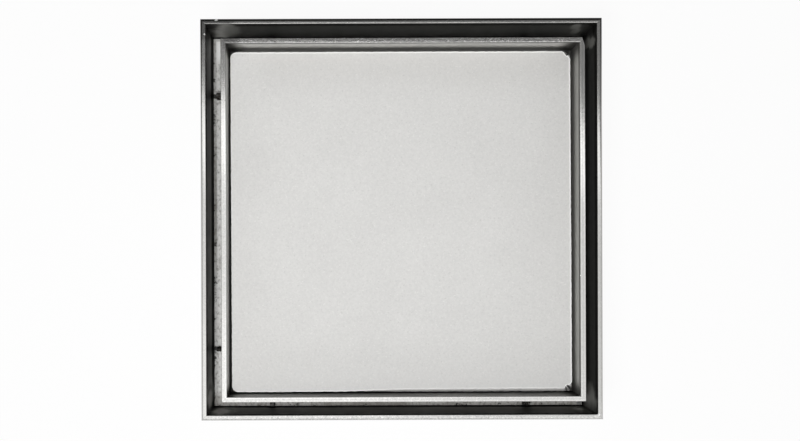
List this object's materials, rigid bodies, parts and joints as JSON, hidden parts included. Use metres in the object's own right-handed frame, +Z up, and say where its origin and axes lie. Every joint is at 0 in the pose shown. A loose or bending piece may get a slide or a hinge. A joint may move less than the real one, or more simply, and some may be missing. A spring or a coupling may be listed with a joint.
{
  "type": "square shower drain",
  "caption": "Square stainless floor drain: a mitred flat-bar frame over a dished floor and outlet pipe, with a loose tile tray standing inside a narrow water slot.",
  "frame": {"origin": "centre of the outlet pipe's lower end, which is the middle of the drain's lowest level", "axes": "+Z up through the tray, +X and +Y square to the frame's sides, with +Y towards the back bars"},
  "size_m": [0.15, 0.15, 0.074],
  "materials": {
    "frame_steel": "satin, ground along the bars",
    "floor_steel": "dull mill finish, stained in the water slot",
    "strainer_steel": "satin",
    "tray_steel": "satin, rough ground rim",
    "feet_steel": "as welded, heat stained",
    "bed_board": "matt, fine sand grain"
  },
  "bodies": {
    "root": {"frame_bar_front": "frame_steel", "frame_bar_right": "frame_steel", "frame_bar_back": "frame_steel", "frame_bar_left": "frame_steel", "floor_plate": "floor_steel", "outlet_spigot": "floor_steel", "hair_strainer": "strainer_steel", "tray_bar_front": "tray_steel", "tray_bar_right": "tray_steel", "tray_bar_back": "tray_steel", "tray_bar_left": "tray_steel", "tray_base": "tray_steel", "tray_feet": "feet_steel", "tile_bed": "bed_board"}
  },
  "joints": []
}
